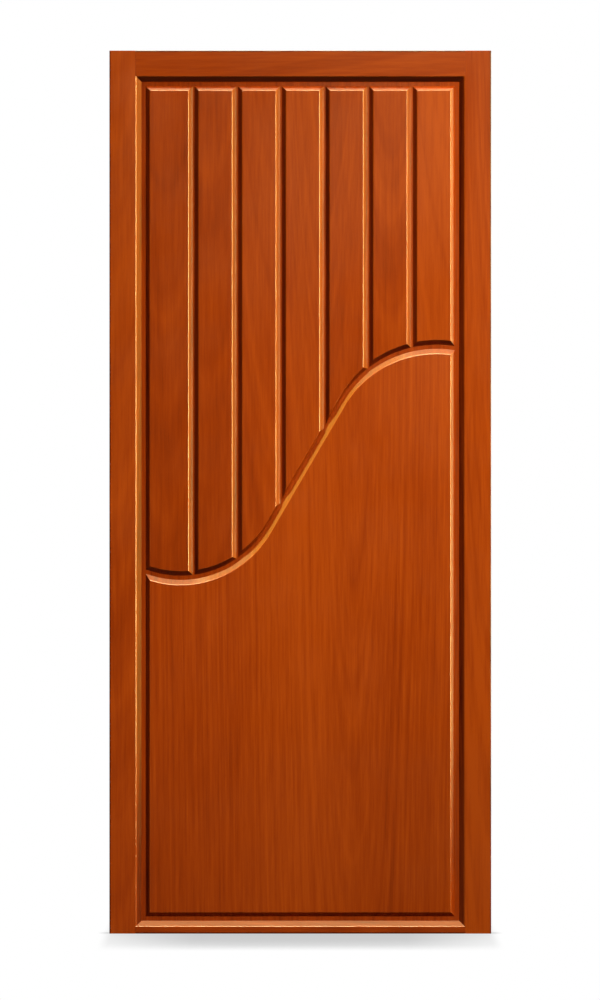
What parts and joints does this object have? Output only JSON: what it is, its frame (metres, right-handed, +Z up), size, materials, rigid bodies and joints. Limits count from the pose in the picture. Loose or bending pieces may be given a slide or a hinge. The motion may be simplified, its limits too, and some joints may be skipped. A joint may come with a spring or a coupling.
{
  "type": "panelled wooden door in its frame",
  "caption": "Lacquered timber door leaf with upright planks above an S-shaped groove and a plain lower panel, hung in a bevelled frame with a low threshold on butt hinges",
  "frame": {"origin": "On the hinge jamb's wall face, at floor level, half way through the frame's depth", "axes": "+X across the door to the lock jamb, +Y to the back where the hinges are, +Z up"},
  "size_m": [0.908, 0.0575, 2.1],
  "materials": {
    "frame_wood": "satin red-brown lacquer over fine-grained hardwood",
    "core_wood": "satin red-brown lacquer over fine-grained hardwood",
    "board_wood": "satin red-brown lacquer over fine-grained hardwood",
    "hinge_steel": "brushed stainless steel"
  },
  "bodies": {
    "frame": {"hinge_jamb": "frame_wood", "lock_jamb": "frame_wood", "head": "frame_wood", "threshold": "frame_wood", "hinge_bottom_frame_plate": "hinge_steel", "hinge_middle_frame_plate": "hinge_steel", "hinge_top_frame_plate": "hinge_steel", "hinge_bottom_pin": "hinge_steel", "hinge_middle_pin": "hinge_steel", "hinge_top_pin": "hinge_steel"},
    "leaf": {"leaf_core": "core_wood", "front_plank_1": "board_wood", "front_plank_2": "board_wood", "front_plank_3": "board_wood", "front_plank_4": "board_wood", "front_plank_5": "board_wood", "front_plank_6": "board_wood", "front_plank_7": "board_wood", "back_plank_1": "board_wood", "back_plank_2": "board_wood", "back_plank_3": "board_wood", "back_plank_4": "board_wood", "back_plank_5": "board_wood", "back_plank_6": "board_wood", "back_plank_7": "board_wood", "front_lower_panel": "board_wood", "back_lower_panel": "board_wood", "hinge_bottom_leaf_plate": "hinge_steel", "hinge_middle_leaf_plate": "hinge_steel", "hinge_top_leaf_plate": "hinge_steel"}
  },
  "joints": [
    {"name": "leaf_swing", "type": "hinge", "parent": "frame", "child": "leaf", "pos_m": [0.0645, 0.03, 0], "axis": [0, 0, 1], "range_deg": [0, 180]}
  ]
}
